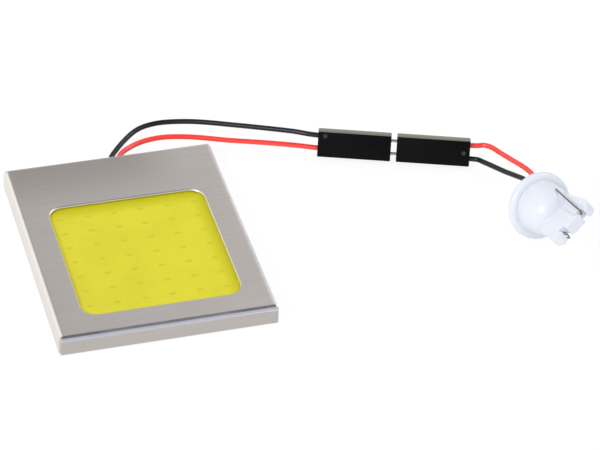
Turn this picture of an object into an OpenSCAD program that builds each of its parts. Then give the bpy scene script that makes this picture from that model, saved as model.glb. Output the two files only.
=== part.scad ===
// Chip-on-board light panel in a folded aluminium case, with two leads,
// a two-way crimp connector and a wedge lamp-base adapter.
// Units are millimetres. The panel lies face up on its adhesive pad: the origin
// is under the middle of the case, +Z is up, and the leads leave at the +Y edge.

/* [Case] */
// Width of the folded case across the panel
case_w = 40; // [30:0.5:60]
// Depth of the folded case from front flap to rear flap
case_d = 50; // [40:0.5:80]
// Height of the top face above the surface the panel lies on
case_top = 3.8; // [3.4:0.1:6]
// Thickness of the aluminium sheet
sheet_t = 0.5; // [0.4:0.1:0.8]
// Outside radius of the folded edges
bend_r = 1.0; // [0.8:0.1:1.5]
// Gap between the lower edge of the case and the supporting surface
case_lift = 0.2; // [0:0.1:0.5]
// Width of the window in the top face
window_w = 29.3; // [20:0.1:40]
// Depth of the window in the top face
window_d = 31.1; // [20:0.1:44]
// Corner radius of the window
window_r = 2.8; // [1:0.1:6]
// How far the window centre sits forward of the case centre
window_shift = 4.0; // [0:0.1:8]

/* [Light engine] */
// Thickness of the aluminium-cored circuit board
board_t = 1.1; // [0.8:0.1:1.6]
// Number of chips across the panel
chip_cols = 6; // [3:1:8]
// Number of chips from front to rear
chip_rows = 8; // [3:1:10]
// Chip spacing across the panel
chip_pitch_x = 5.04; // [3:0.02:8]
// Chip spacing from front to rear
chip_pitch_y = 4.16; // [3:0.02:8]
// Size of the phosphor field across the panel
field_w = 32; // [24:0.5:44]
// Size of the phosphor field from front to rear
field_d = 34; // [24:0.5:48]
// Thickness of the phosphor layer
phosphor_t = 0.9; // [0.3:0.1:1]

/* [Leads] */
// Outside diameter of each lead
lead_d = 1.0; // [0.8:0.1:1.6]

/* [Connector] */
// Length of each connector housing
housing_l = 14; // [12:0.5:16]
// Width of each connector housing
housing_w = 5.08; // [4.8:0.02:5.2]
// Thickness of each connector housing
housing_t = 2.54; // [2.4:0.02:2.8]
// Spacing of the two contacts
contact_pitch = 2.54; // [2:0.02:3]
// Bare length of pin between the two housings
pin_gap = 1.1; // [0.2:0.1:3]

/* [Wedge adapter] */
// Diameter of the round collar
collar_d = 12.8; // [11:0.1:15]
// Thickness of the round collar
collar_t = 1.4; // [1:0.1:2.5]
// Width of the wedge blade over its two ears
blade_w = 9.5; // [9:0.1:10]
// Thickness of the wedge blade
blade_t = 2.4; // [2:0.1:3]
// Length of the wedge blade from the collar
blade_l = 12.4; // [9:0.1:15]

/* [Hidden] */
$fn = 48;
eps = 0.01;

// layers, from the surface upwards
liner_t = 0.1;
pad_t = 0.8;
board_z = liner_t + pad_t;
mask_t = 0.1;
board_top = board_z + board_t;
face_z = board_top + mask_t;
phosphor_z = face_z + phosphor_t;
sheet_z = case_top - sheet_t;

// case
bend_in = bend_r - sheet_t;
plate_x = case_w / 2 - bend_r;
plate_y = case_d / 2 - bend_r;
flap_top = case_top - bend_r;
side_flap_end = case_d / 2 - sheet_t - 0.1;
end_flap_end = case_w / 2 - 0.2;
window_x = 0.2;
exit_x = 1.2;
exit_w = 4.0;
exit_top = 3.2;

// board and what is on it
board_gap = 0.2;
board_w = case_w - 2 * (sheet_t + board_gap);
board_d = case_d - 2 * (sheet_t + board_gap);
board_r = 0.8;
dam_w = 1.1;
dam_rise = 0.1;
field_r = 2.2;
field_y = -window_shift;
chip_y = -5.0;
chip_x = 0.2;
chip_l = 1.1;
chip_b = 0.6;
chip_h = 0.15;
land_t = 0.05;
land_l = 2.4;
land_b = 2.6;
land_y = 19;
black_land_x = -4;
red_land_x = 6;
resistor_l = 3.2;
resistor_b = 1.6;
resistor_h = 0.5;
resistor_end = 0.5;
resistor_y = 16.8;
resistor_xs = [-14, -9.4, 9.4, 14];
tape_w = 1.5;
tape_l = 46;
tape_x = 18.1;
pad_w = 36;
pad_d = 46;
liner_w = 36.6;
liner_d = 46.6;
solder_d = 1.1;
solder_l = 1.8;
lead_z = land_t + face_z + solder_d / 2;
black_solder_x = -3;
red_solder_x = 5;

// connector placing: the lower left corner of the visible face
conn_tilt = 21;
conn_turn = -19;
conn_x = 39.8;
conn_y = 19.5;
conn_z = housing_t * sin(conn_tilt);
conn_len = 2 * housing_l + pin_gap;
cavity = 1.7;
front_wall = 0.8;
entry_l = 3;
crimp_l = 3;
crimp_d = 1.2;
pin_d = 0.6;
pin_reach = 4.6;
pin_hole = 0.9;
latch_l = 2.2;
latch_b = 1.2;
latch_at = 5;

// adapter placing: the middle of the back of the collar
wedge_turn = [66, -32, 24];
wedge_x = 73.8;
wedge_y = -10;
wedge_z = 6.01;
cup_d = 7.6;
cup_deep = 3;
joint_z = 1.5;
dome_r = 4.9;
dome_l = 7.4;
dome_full = 2.8;
bead_r = 0.95;
ear_r = 1.4;
root_w = 8.4;
wire_d = 0.3;
wire_x = 2.3;
notch_w = 1.1;
notch_deep = 1.3;
groove_w = 2.2;
groove_deep = 0.3;
wire_back = 7.6;
wire_rise = 1.9;
wire_lean = 1.0;

// cord sweeping
sides = 8;

function unit(v) = v / norm(v);
function rot_x(a, p) = [p[0], p[1] * cos(a) - p[2] * sin(a), p[1] * sin(a) + p[2] * cos(a)];
function rot_y(a, p) = [p[0] * cos(a) + p[2] * sin(a), p[1], p[2] * cos(a) - p[0] * sin(a)];
function rot_z(a, p) = [p[0] * cos(a) - p[1] * sin(a), p[0] * sin(a) + p[1] * cos(a), p[2]];
function turn(r, p) = rot_z(r[2], rot_y(r[1], rot_x(r[0], p)));
conn_turns = [-conn_tilt, 0, conn_turn];
conn_dir = turn(conn_turns, [1, 0, 0]);
wedge_dir = turn(wedge_turn, [0, 0, 1]);
function conn_point(s, row) =
    [conn_x, conn_y, conn_z]
    + turn(conn_turns, [s, housing_t / 2, housing_w / 2 + row * contact_pitch / 2]);
function wedge_point(side, z) =
    [wedge_x, wedge_y, wedge_z] + turn(wedge_turn, [side * wire_x, 0, z]);

// hand-set points of each free run, between its fixed ends
black_run = [
    [-1.6, 19.4, 2.7], [-0.2, 21, 2.7], [0.5, 23.4, 2.7], [0.9, 25.6, 2.6], [2.5, 28.2, 2.3],
    [5.2, 31.5, 2.1], [8.4, 34, 2.2], [12.9, 34.8, 2.3], [19, 33.2, 2.7],
    [25, 30.4, 3.1], [31, 27.4, 3.5], [36.4, 24.5, 3.9], [39.2, 22.8, 4]
];
red_run = [
    [3.6, 19.4, 2.7], [2.3, 21, 2.7], [1.9, 23.2, 2.7], [2.2, 25, 2.6], [3.1, 26.6, 2.5],
    [4.8, 28.2, 2.3], [8, 29.8, 2.2], [12.4, 30.4, 2.1], [18, 29.3, 2], [24, 27.1, 1.9],
    [30, 25.2, 1.8], [36, 23.1, 1.7], [39, 21.8, 1.7]
];
red_tail = [
    [69.4, 12.3, 4], [70.7, 12, 4.1], [71.8, 10.9, 4.3], [72.6, 9, 4.5], [74, 5.6, 4.9],
    [75.2, 2, 5.6], [75.8, -1.6, 6.1], [75.1, -6.4, 6.2]
];
black_tail = [
    [68.9, 11.1, 1.7], [69.9, 9.7, 2], [71.2, 7.2, 2.5], [72.6, 4.2, 3.2], [73.9, 1.1, 4.2],
    [74.4, -1.7, 5.1], [73.3, -5, 4.6], [71.7, -8.2, 3.8]
];

black_ends = [[black_solder_x, land_y, lead_z], conn_point(entry_l, 1)];
red_ends = [[red_solder_x, land_y, lead_z], conn_point(entry_l, -1)];
red_tail_ends = [conn_point(conn_len - entry_l, 1), wedge_point(1, joint_z)];
black_tail_ends = [conn_point(conn_len - entry_l, -1), wedge_point(-1, joint_z)];

// one more ring in the middle of each span, on the smooth curve through the points
function between(a, b, c, d) = (9 * b + 9 * c - a - d) / 16;
function smooth(p) = [for (i = [0:len(p) - 1]) each i == len(p) - 1 ? [p[i]]
    : [p[i], between(p[max(i - 1, 0)], p[i], p[i + 1], p[min(i + 2, len(p) - 1)])]];
function run_path(ends, run) = concat([ends[0]], run, [ends[1]]);
function slope(p, i, d0, d1) =
    i == 0 ? d0 : i == len(p) - 1 ? d1 : unit(p[i + 1] - p[i - 1]);
function ring(c, t, r) =
    let (s = unit(cross([0, 0, 1], t)), u = cross(t, s))
    [for (k = [0:sides - 1]) let (a = 360 * (k + 0.5) / sides) c + r * (cos(a) * s + sin(a) * u)];

module cord(p, d0, d1) {
    n = len(p);
    points = [for (i = [0:n - 1]) each ring(p[i], slope(p, i, d0, d1), lead_d / 2)];
    walls = [for (i = [0:n - 2], k = [0:sides - 1])
        [(i + 1) * sides + k, (i + 1) * sides + (k + 1) % sides, i * sides + (k + 1) % sides, i * sides + k]];
    first = [for (k = [0:sides - 1]) k];
    last = [for (k = [0:sides - 1]) n * sides - 1 - k];
    polyhedron(points, concat([first], walls, [last]), convexity = 6);
}

// a flat plate with round corners, centred on x and y, standing on z = 0
module round_plate(w, d, r, h) {
    translate([-w / 2 + r, -d / 2, 0]) cube([w - 2 * r, d, h]);
    translate([-w / 2, -d / 2 + r, 0]) cube([w, d - 2 * r, h]);
    for (sx = [-1, 1], sy = [-1, 1])
        translate([sx * (w / 2 - r), sy * (d / 2 - r), 0]) cylinder(r = r, h = h);
}

// a block centred on x and y, standing on z = 0
module block(w, d, h) {
    translate([-w / 2, -d / 2, 0]) cube([w, d, h]);
}

// quarter-round folded strip along +X: top at z = 0, outer face at y = -bend_r
module fold(l) {
    rotate([0, 90, 0]) translate([bend_r, 0, -l / 2]) intersection() {
        difference() {
            cylinder(r = bend_r, h = l);
            translate([0, 0, -1]) cylinder(r = bend_in, h = l + 2);
        }
        translate([-bend_r - 1, -bend_r - 1, 0]) cube([bend_r + 1, bend_r + 1, l]);
    }
}

// one flap with its fold, for an edge at distance reach from the middle
module flap(l_fold, l_flap, reach) {
    translate([0, -reach, case_top]) fold(l_fold);
    translate([-l_flap / 2, -reach - bend_r, case_lift])
        cube([l_flap, sheet_t, flap_top - case_lift]);
}

module case_shell() {
    color("silver") difference() {
        union() {
            translate([0, 0, sheet_z]) block(2 * plate_x, 2 * plate_y, sheet_t);
            for (a = [0, 180]) rotate([0, 0, a]) flap(2 * end_flap_end, 2 * end_flap_end, plate_y);
            for (a = [90, -90]) rotate([0, 0, a]) flap(2 * plate_y, 2 * side_flap_end, plate_x);
        }
        translate([window_x, -window_shift, sheet_z - 1]) round_plate(window_w, window_d, window_r, sheet_t + 2);
        translate([exit_x - exit_w / 2, plate_y + 0.3, -1]) cube([exit_w, 2, exit_top + 1]);
    }
}

module circuit_board() {
    color("lightgray") translate([0, 0, board_z]) round_plate(board_w, board_d, board_r, board_t);
}

module board_face() {
    color("white") translate([0, 0, board_top]) round_plate(board_w, board_d, board_r, mask_t);
}

module solder_lands() {
    color("goldenrod") translate([0, 0, face_z]) {
        for (x = [black_land_x, red_land_x]) translate([x, land_y, 0]) block(land_l, land_b, land_t);
        for (x = resistor_xs, s = [-1, 1])
            translate([x + s * (resistor_l / 2 - resistor_end / 2), resistor_y, 0])
                block(resistor_end + 0.4, resistor_b, land_t);
    }
}

module silicone_dam() {
    color("white") translate([0, field_y, face_z]) difference() {
        round_plate(field_w + 2 * dam_w, field_d + 2 * dam_w, field_r + dam_w, phosphor_t + dam_rise);
        translate([0, 0, -1]) round_plate(field_w, field_d, field_r, phosphor_t + 2);
    }
}

module chip_set(grow) {
    for (i = [0:chip_cols - 1], j = [0:chip_rows - 1])
        translate([
            chip_x + (i - (chip_cols - 1) / 2) * chip_pitch_x,
            chip_y + (j - (chip_rows - 1) / 2) * chip_pitch_y,
            face_z - grow
        ]) block(chip_l, chip_b, chip_h + grow);
}

module phosphor_layer() {
    color("yellow") difference() {
        translate([0, field_y, face_z]) round_plate(field_w, field_d, field_r, phosphor_t);
        chip_set(1);
    }
}

module led_chips() {
    color("lightyellow") chip_set(0);
}

module resistors() {
    color("black") for (x = resistor_xs)
        translate([x, resistor_y, face_z + land_t])
            block(resistor_l - 2 * resistor_end, resistor_b, resistor_h);
}

module resistor_caps() {
    color("silver") for (x = resistor_xs, s = [-1, 1])
        translate([x + s * (resistor_l - resistor_end) / 2, resistor_y, face_z + land_t])
            block(resistor_end, resistor_b, resistor_h);
}

// a solder barrel lying on its land, its flat end at the lead
module solder_joint(x, s) {
    translate([x, land_y, lead_z]) rotate([0, 90 * s, 0]) cylinder(d = solder_d, h = solder_l);
    translate([x + s * solder_l / 2, land_y, face_z + land_t]) block(solder_l, solder_d, solder_d / 2);
}

module solder_joints() {
    color("lightgray") {
        solder_joint(black_solder_x, -1);
        solder_joint(red_solder_x, 1);
    }
}

module side_tapes() {
    color("whitesmoke") for (s = [-1, 1])
        translate([s * tape_x, 0, face_z]) block(tape_w, tape_l, sheet_z - face_z);
}

module foam_pad() {
    color("white") translate([0, 0, liner_t]) round_plate(pad_w, pad_d, board_r, pad_t);
}

module release_liner() {
    color("khaki") round_plate(liner_w, liner_d, board_r, liner_t);
}

module black_lead() {
    color("black") cord(smooth(run_path(black_ends, black_run)), [1, 0, 0], conn_dir);
}

module red_lead() {
    color("red") cord(smooth(run_path(red_ends, red_run)), [-1, 0, 0], conn_dir);
}

module red_tail_lead() {
    color("red") cord(run_path(red_tail_ends, red_tail), conn_dir, wedge_dir);
}

module black_tail_lead() {
    color("black") cord(run_path(black_tail_ends, black_tail), conn_dir, wedge_dir);
}

// places a piece drawn in the connector's own axes: x along it from the lead end
module on_connector() {
    translate([conn_x, conn_y, conn_z]) rotate(conn_turns) children();
}

// one housing: lead entries at x = 0, mating face at x = housing_l
module housing() {
    difference() {
        cube([housing_l, housing_t, housing_w]);
        for (row = [-1, 1]) translate([0, housing_t / 2, housing_w / 2 + row * contact_pitch / 2]) {
            translate([-1, -cavity / 2, -cavity / 2])
                cube([housing_l - front_wall + 1, cavity, cavity]);
            translate([0, -pin_hole / 2, -pin_hole / 2]) cube([housing_l + 1, pin_hole, pin_hole]);
            translate([latch_at, 0, -latch_b / 2]) cube([latch_l, housing_t, latch_b]);
        }
    }
}

// crimped contact from the end of the lead to the inside of the mating face
module contact_barrel(row) {
    translate([0, housing_t / 2, housing_w / 2 + row * contact_pitch / 2]) {
        translate([entry_l, 0, 0]) rotate([0, 90, 0]) cylinder(d = crimp_d, h = crimp_l + eps);
        translate([entry_l + crimp_l, -cavity / 2, -cavity / 2])
            cube([housing_l - front_wall - entry_l - crimp_l, cavity, cavity]);
    }
}

module pin_bar(row, x0, x1) {
    translate([x0, housing_t / 2, housing_w / 2 + row * contact_pitch / 2])
        rotate([0, 90, 0]) cylinder(d = pin_d, h = x1 - x0, $fn = 24);
}

// turns a housing end for end about the middle of the connector
module mirrored_half() {
    translate([conn_len, 0, housing_w]) rotate([0, 180, 0]) children();
}

module socket_housing() {
    color("black") on_connector() housing();
}

module pin_housing() {
    color("black") on_connector() mirrored_half() housing();
}

module socket_contacts() {
    color("gold") on_connector() for (row = [-1, 1]) difference() {
        contact_barrel(row);
        pin_bar(row, housing_l - pin_reach, housing_l + 1);
    }
}

module pin_contacts() {
    color("gold") on_connector() for (row = [-1, 1]) union() {
        mirrored_half() contact_barrel(row);
        pin_bar(row, housing_l - pin_reach, conn_len - housing_l + front_wall + 1);
    }
}

// places a piece drawn in the adapter's own axes: z from the back of the collar to the
// end of the blade, x across the blade
module on_adapter() {
    translate([wedge_x, wedge_y, wedge_z]) rotate(wedge_turn) children();
}

// round rod from p to q
module rod(p, q, d) {
    v = q - p;
    translate(p) rotate([0, acos(v[2] / norm(v)), atan2(v[1], v[0])]) cylinder(d = d, h = norm(v), $fn = 24);
}

module collar() {
    bead_x = collar_d / 2 - bead_r;
    bead_z = collar_t - bead_r;
    rotate_extrude() {
        square([bead_x, collar_t - 0.6]);
        square([collar_d / 2, bead_z]);
        intersection() {
            translate([bead_x, bead_z]) circle(r = bead_r);
            square([collar_d, collar_d]);
        }
    }
}

// full-shouldered dome behind the blade
module dome() {
    steps = 12;
    z0 = collar_t - 0.6;
    full = 2 / dome_full;
    rotate_extrude() polygon(concat([[0, z0]], [for (k = [0:steps]) [
        dome_r * pow(cos(90 * k / steps), full),
        z0 + dome_l * pow(sin(90 * k / steps), full)
    ]]));
}

module blade_outline() {
    end_z = collar_t + blade_l;
    ear_x = blade_w / 2 - ear_r;
    translate([-root_w / 2, cup_deep]) square([root_w, blade_l - 3]);
    polygon([
        [-root_w / 2, end_z - 7], [root_w / 2, end_z - 7],
        [blade_w / 2, end_z - 2.4], [blade_w / 2, end_z - ear_r],
        [-blade_w / 2, end_z - ear_r], [-blade_w / 2, end_z - 2.4]
    ]);
    translate([-ear_x, end_z - 2 * ear_r]) square([2 * ear_x, 2 * ear_r]);
    for (s = [-1, 1]) translate([s * ear_x, end_z - ear_r]) circle(r = ear_r);
}

module blade() {
    end_z = collar_t + blade_l;
    difference() {
        rotate([90, 0, 0]) linear_extrude(blade_t, center = true) blade_outline();
        for (s = [-1, 1]) {
            translate([s * wire_x - notch_w / 2, -blade_t, end_z - notch_deep])
                cube([notch_w, 2 * blade_t, 2]);
            translate([s * wire_x - groove_w / 2, s * (blade_t / 2 - groove_deep / 2) - 0.5 * groove_deep - eps,
                end_z - 8]) cube([groove_w, groove_deep + 2 * eps, 9]);
        }
    }
}

module wedge_body() {
    color("white") on_adapter() difference() {
        union() {
            collar();
            dome();
            blade();
        }
        translate([0, 0, -1]) cylinder(d = cup_d, h = cup_deep + 1);
        for (s = [-1, 1]) translate([s * wire_x, 0, 0])
            cylinder(d = wire_d, h = collar_t + blade_l + 1, $fn = 24);
    }
}

module wedge_fill() {
    color("ivory") on_adapter() difference() {
        cylinder(d = cup_d, h = cup_deep);
        for (s = [-1, 1]) translate([s * wire_x, 0, 0]) {
            translate([0, 0, -1]) cylinder(d = lead_d, h = joint_z + 1);
            cylinder(d = wire_d, h = cup_deep + 1, $fn = 24);
        }
    }
}

// contact wire: up inside the blade, round its end and back along one face
module contact_wire(s) {
    end_z = collar_t + blade_l;
    top = [s * wire_x, 0, end_z - notch_deep + 0.75];
    over = [s * wire_x, s * (blade_t / 2 + 0.1), end_z - notch_deep + 0.75];
    tip = [s * (wire_x + wire_lean), s * (blade_t / 2 + wire_rise), over[2] - wire_back];
    rod([s * wire_x, 0, joint_z], top, wire_d);
    translate(top) sphere(d = wire_d, $fn = 24);
    rod(top, over, wire_d);
    translate(over) sphere(d = wire_d, $fn = 24);
    rod(over, tip, wire_d);
}

module front_contact_wire() {
    color("silver") on_adapter() contact_wire(1);
}

module rear_contact_wire() {
    color("silver") on_adapter() contact_wire(-1);
}

case_shell();
circuit_board();
board_face();
solder_lands();
silicone_dam();
phosphor_layer();
led_chips();
resistors();
resistor_caps();
solder_joints();
side_tapes();
foam_pad();
release_liner();
black_lead();
red_lead();
socket_housing();
pin_housing();
socket_contacts();
pin_contacts();
red_tail_lead();
black_tail_lead();
wedge_body();
wedge_fill();
front_contact_wire();
rear_contact_wire();
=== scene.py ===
"""Looks of a chip-on-board light panel with its leads, connector and wedge adapter.

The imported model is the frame. Each class works in millimetres and the finished
pieces are in metres, in the axes of the frame.
"""

import logging
import math
from dataclasses import dataclass, field
from enum import Enum
from functools import partial, reduce
from typing import Callable, Iterable, Optional, Sequence, Union

import bmesh
import bpy
from mathutils import Euler, Matrix, Vector


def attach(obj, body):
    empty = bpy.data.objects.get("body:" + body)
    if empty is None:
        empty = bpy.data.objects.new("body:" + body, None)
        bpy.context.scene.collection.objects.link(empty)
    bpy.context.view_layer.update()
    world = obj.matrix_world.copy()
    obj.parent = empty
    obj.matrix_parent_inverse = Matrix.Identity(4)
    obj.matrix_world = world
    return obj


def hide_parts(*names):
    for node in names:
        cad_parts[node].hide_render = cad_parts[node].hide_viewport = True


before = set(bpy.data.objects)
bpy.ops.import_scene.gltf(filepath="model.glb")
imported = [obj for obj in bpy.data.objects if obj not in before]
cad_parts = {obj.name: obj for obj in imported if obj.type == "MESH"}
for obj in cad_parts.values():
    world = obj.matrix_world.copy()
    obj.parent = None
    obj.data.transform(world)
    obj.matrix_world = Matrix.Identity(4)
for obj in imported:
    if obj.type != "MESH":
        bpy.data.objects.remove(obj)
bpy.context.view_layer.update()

MM = 0.001
UV_SPAN = 100.0  # millimetres of the flat blank to one unit of its map
TINY = 1e-4  # points closer than this are one
CLEAR = 1.0  # how far a cutter stands out past the face that it cuts
CORNER_STEPS = 8
EDGE_STEPS = 2
EDGE_ANGLE = 40.0  # edges turning less than this many degrees are left
NOISE_SPAN = (0.3, 0.7)  # where most of a noise lies
DEVELOPED = "developed"

Pair = tuple[float, float]
Ramp = tuple[Pair, Pair]
Point = tuple[float, float, float]
Color = tuple[float, float, float]
Mesh = bmesh.types.BMesh
Edge = bmesh.types.BMEdge
Piece = bpy.types.Object
Socket = bpy.types.NodeSocket
Value = Union[Socket, float]
log = logging.getLogger("cob_panel")


# ---------------------------------------------------------------- finishes


class NodeBoard:
    """Lays out the nodes of one tree."""

    MIX_SLOTS = {"FLOAT": (2, 3, 0), "RGBA": (6, 7, 2)}  # two inputs and the output

    def __init__(self, tree: bpy.types.NodeTree) -> None:
        """Starts on an existing tree."""
        self.tree = tree

    def add(self, kind: str, **settings: object) -> bpy.types.Node:
        """Adds a node.

        Args:
            kind: the node's type name.
            settings: properties to set on it.

        Returns:
            The new node.
        """
        node = self.tree.nodes.new(kind)
        for key, value in settings.items():
            setattr(node, key, value)
        return node

    def feed(self, target: Socket, value: Union[Value, Sequence[float]]) -> None:
        """Joins an output to an input, or sets the input to a constant.

        Args:
            target: the input.
            value: the output or the constant.
        """
        if isinstance(value, Socket):
            self.tree.links.new(value, target)
        else:
            target.default_value = value

    def spread(self, value: Socket, old: Pair, new: Pair = (0, 1)) -> Socket:
        """Maps one range of a value smoothly to another.

        Args:
            value: the value to map.
            old: its range.
            new: the wanted range.

        Returns:
            A value output, held within the wanted range.
        """
        node = self.add("ShaderNodeMapRange", interpolation_type="SMOOTHSTEP")
        for key, number in zip(("From Min", "From Max", "To Min", "To Max"), (*old, *new)):
            self.feed(node.inputs[key], number)
        self.feed(node.inputs["Value"], value)
        return node.outputs["Result"]

    def math(self, operation: str, *values: Value) -> Socket:
        """Adds one arithmetic step.

        Args:
            operation: its name.
            values: what it works on, outputs or numbers.

        Returns:
            A value output.
        """
        node = self.add("ShaderNodeMath", operation=operation)
        for socket, value in zip(node.inputs, values):
            self.feed(socket, value)
        return node.outputs["Value"]

    def chain(self, operation: str, *values: Value) -> Socket:
        """Does one arithmetic step over any number of values in turn."""
        return reduce(partial(self.math, operation), values)

    def measure(self, operation: str, point: Socket, other: Point) -> Socket:
        """Measures a point against a fixed vector.

        Args:
            operation: DISTANCE or DOT_PRODUCT.
            point: the point's vector output.
            other: the fixed vector.

        Returns:
            A value output.
        """
        node = self.add("ShaderNodeVectorMath", operation=operation)
        for socket, value in zip(node.inputs, (point, other)):
            self.feed(socket, value)
        return node.outputs["Value"]

    def split(self, vector: Socket) -> dict[str, Socket]:
        """Gives a vector's X, Y and Z."""
        node = self.add("ShaderNodeSeparateXYZ")
        self.feed(node.inputs["Vector"], vector)
        return {axis: node.outputs[axis] for axis in "XYZ"}

    def mix(self, factor: Value, low: Value, high: Value, kind: str = "FLOAT") -> Socket:
        """Blends two values, or two colours with alpha.

        Args:
            factor: 0 for the first and 1 for the second.
            low: the first.
            high: the second.
            kind: what they are, FLOAT or RGBA.

        Returns:
            An output of that kind.
        """
        node = self.add("ShaderNodeMix", data_type=kind)
        first, second, result = self.MIX_SLOTS[kind]
        for slot, value in ((first, low), (second, high), (0, factor)):
            self.feed(node.inputs[slot], value)
        return node.outputs[result]

    def tint(self, factor: Socket, low: Union[Color, Socket], high: Union[Color, Socket]) -> Socket:
        """Blends two colours, each a constant or an output, as mix blends values."""
        low, high = ((*c, 1) if isinstance(c, tuple) else c for c in (low, high))
        return self.mix(factor, low, high, "RGBA")

    def rays(self) -> tuple[Socket, Socket]:
        """Tells how a surface is looked at.

        Returns:
            1 where it is seen directly, and 1 where it is seen in a mirroring surface.
        """
        path = self.add("ShaderNodeLightPath").outputs
        direct = self.math("MAXIMUM", path["Is Camera Ray"], path["Is Transmission Ray"])
        return direct, path["Is Glossy Ray"]


class Bench(NodeBoard):
    """Lays out the nodes of one material around its main shader."""

    def __init__(self, name: str) -> None:
        """Starts a material of the given name."""
        self.material = bpy.data.materials.new(name)
        self.material.use_nodes = True
        super().__init__(self.material.node_tree)
        self.shader = self.tree.nodes["Principled BSDF"]

    def fix(self, **sockets: object) -> None:
        """Sets constant shader inputs, written with _ for each space."""
        for key, value in sockets.items():
            self.shader.inputs[key.replace("_", " ")].default_value = value

    def place(self, scale: Point = (1, 1, 1)) -> Socket:
        """Gives object coordinates in millimetres, with a factor on each axis."""
        return self._scaled(self.add("ShaderNodeTexCoord").outputs["Object"], scale, 1 / MM)

    def place_developed(self, across: float, along: float) -> Socket:
        """Gives millimetres on the flat blank of a folded sheet, with a factor on each axis."""
        flat = self.add("ShaderNodeUVMap", uv_map=DEVELOPED).outputs["UV"]
        return self._scaled(flat, (across, along, 1), UV_SPAN)

    def _scaled(self, vector: Socket, scale: Point, unit: float) -> Socket:
        """Scales a vector by a factor on each axis and by a unit."""
        node = self.add("ShaderNodeMapping")
        self.feed(node.inputs["Scale"], [s * unit for s in scale])
        self.feed(node.inputs["Vector"], vector)
        return node.outputs["Vector"]

    def noise(self, point: Socket, scale: float = 1.0, detail: float = 3.0) -> Socket:
        """Adds a cloudy noise.

        Args:
            point: the vector it reads.
            scale: how many clouds in a unit of that vector.
            detail: how many finer layers it has.

        Returns:
            A value output near 0.5.
        """
        node = self.add("ShaderNodeTexNoise")
        for key, value in (("Scale", scale), ("Detail", detail), ("Vector", point)):
            self.feed(node.inputs[key], value)
        return node.outputs["Fac"]

    def bump(self, height: Socket, depth: float) -> None:
        """Raises the surface by a value, over any bump that is there already.

        Args:
            height: the value, from 0 to 1.
            depth: its height in millimetres.
        """
        node = self.add("ShaderNodeBump")
        self.feed(node.inputs["Distance"], depth * MM)
        self.feed(node.inputs["Height"], height)
        normal = self.shader.inputs["Normal"]
        if normal.is_linked:
            self.feed(node.inputs["Normal"], normal.links[0].from_socket)
        self.feed(normal, node.outputs["Normal"])

    def drive(self, socket: str, source: Socket) -> None:
        """Joins an output to one of the shader's inputs."""
        self.feed(self.shader.inputs[socket], source)

    def paint(self, mask: Socket, color: Color) -> None:
        """Lays a colour over the one that is there already, where a mask is 1."""
        base = self.shader.inputs["Base Color"]
        self.feed(base, self.tint(mask, base.links[0].from_socket, color))


def shades(color: Color, share: float) -> tuple[Color, Color]:
    """Returns a colour made darker and made lighter by a share of itself."""
    return tuple(tuple(min(1.0, c * factor) for c in color) for factor in (1 - share, 1 + share))


@dataclass(frozen=True)
class Finish:
    """A plain finish with slight unevenness in colour and gloss.

    Lengths are in millimetres and colours are linear.
    """

    name: str
    color: Color
    roughness: float = 0.5
    metallic: float = 0.0
    mottle: float = 0.06
    mottle_size: float = 3.0
    grain_size: float = 0.15
    grain_depth: float = 0.004
    grain_detail: float = 4.0
    gloss_spread: float = 0.08
    specular: float = 0.5

    @property
    def label(self) -> str:
        """The material's own name, apart from the plain one that the frame brings."""
        return f"{self.name}_finish"

    def make(self) -> bpy.types.Material:
        """Builds the material."""
        bench = Bench(self.label)
        bench.fix(Metallic=self.metallic, Specular_IOR_Level=self.specular)
        self.dress(bench)
        return bench.material

    def dress(self, bench: Bench) -> None:
        """Adds clouded colour, uneven gloss and grain."""
        point = bench.place()
        clouds = bench.spread(bench.noise(point, 1 / self.mottle_size), NOISE_SPAN)
        bench.drive("Base Color", bench.tint(clouds, *shades(self.color, self.mottle)))
        grain = bench.noise(point, 1 / self.grain_size, self.grain_detail)
        half = self.gloss_spread / 2
        gloss = bench.spread(grain, NOISE_SPAN, (self.roughness - half, self.roughness + half))
        bench.drive("Roughness", gloss)
        bench.bump(grain, self.grain_depth)


@dataclass(frozen=True)
class BrushedSheet(Finish):
    """Rolled and brushed sheet: streaks run across the blank, and painted shade darkens the top toward
    the rear.

    Each texture has its number of clouds in a millimetre across and along the blank.
    """

    fine: Pair = (0.10, 4.5)
    broad: Pair = (0.05, 1.3)
    marks: Pair = (0.12, 0.10)
    shares: Pair = (0.5, 0.6)
    streak: float = 0.024
    streak_detail: float = 2.0
    streak_span: Pair = (0.38, 0.72)
    fine_gloss: Ramp = ((0.25, 0.75), (-0.02, 0.02))
    mark_gloss: Ramp = ((0.35, 0.7), (-0.02, 0.03))
    # painted shade: the top darkens toward the rear, starting just inside the left bend and fading out
    # toward its right side
    rear_shade_from: Pair = (9.0, 24.0)
    rear_shade_sides: tuple[Ramp, Ramp] = (((-19.6, -18.6), (0.0, 1.0)), ((2.0, 15.0), (1.0, 0.0)))
    painted_shade_color: Color = (0.68, 0.62, 0.59)

    def dress(self, bench: Bench) -> None:
        """Adds the streaks, painted shade toward the rear of the top, and gloss that brushing and
        handling vary.
        """
        places = [bench.place_developed(*size) for size in (self.fine, self.broad)]
        noises = [bench.noise(place, detail=self.streak_detail) for place in places]
        shares = [bench.math("MULTIPLY", noise, share) for noise, share in zip(noises, self.shares)]
        streaks = bench.spread(bench.math("ADD", *shares), self.streak_span)
        bench.drive("Base Color", bench.tint(streaks, *shades(self.color, self.streak)))
        parts = bench.split(bench.place())
        sides = [bench.spread(parts["X"], *ramp) for ramp in self.rear_shade_sides]
        rear_shade = bench.chain("MULTIPLY", bench.spread(parts["Y"], self.rear_shade_from), *sides)
        # paints shade over the rear of the top
        bench.paint(rear_shade, self.painted_shade_color)
        span, gloss = self.fine_gloss
        rough = bench.spread(noises[0], span, tuple(self.roughness + g for g in gloss))
        worn = bench.spread(bench.noise(bench.place_developed(*self.marks)), *self.mark_gloss)
        bench.drive("Roughness", bench.math("ADD", rough, worn))


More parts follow.
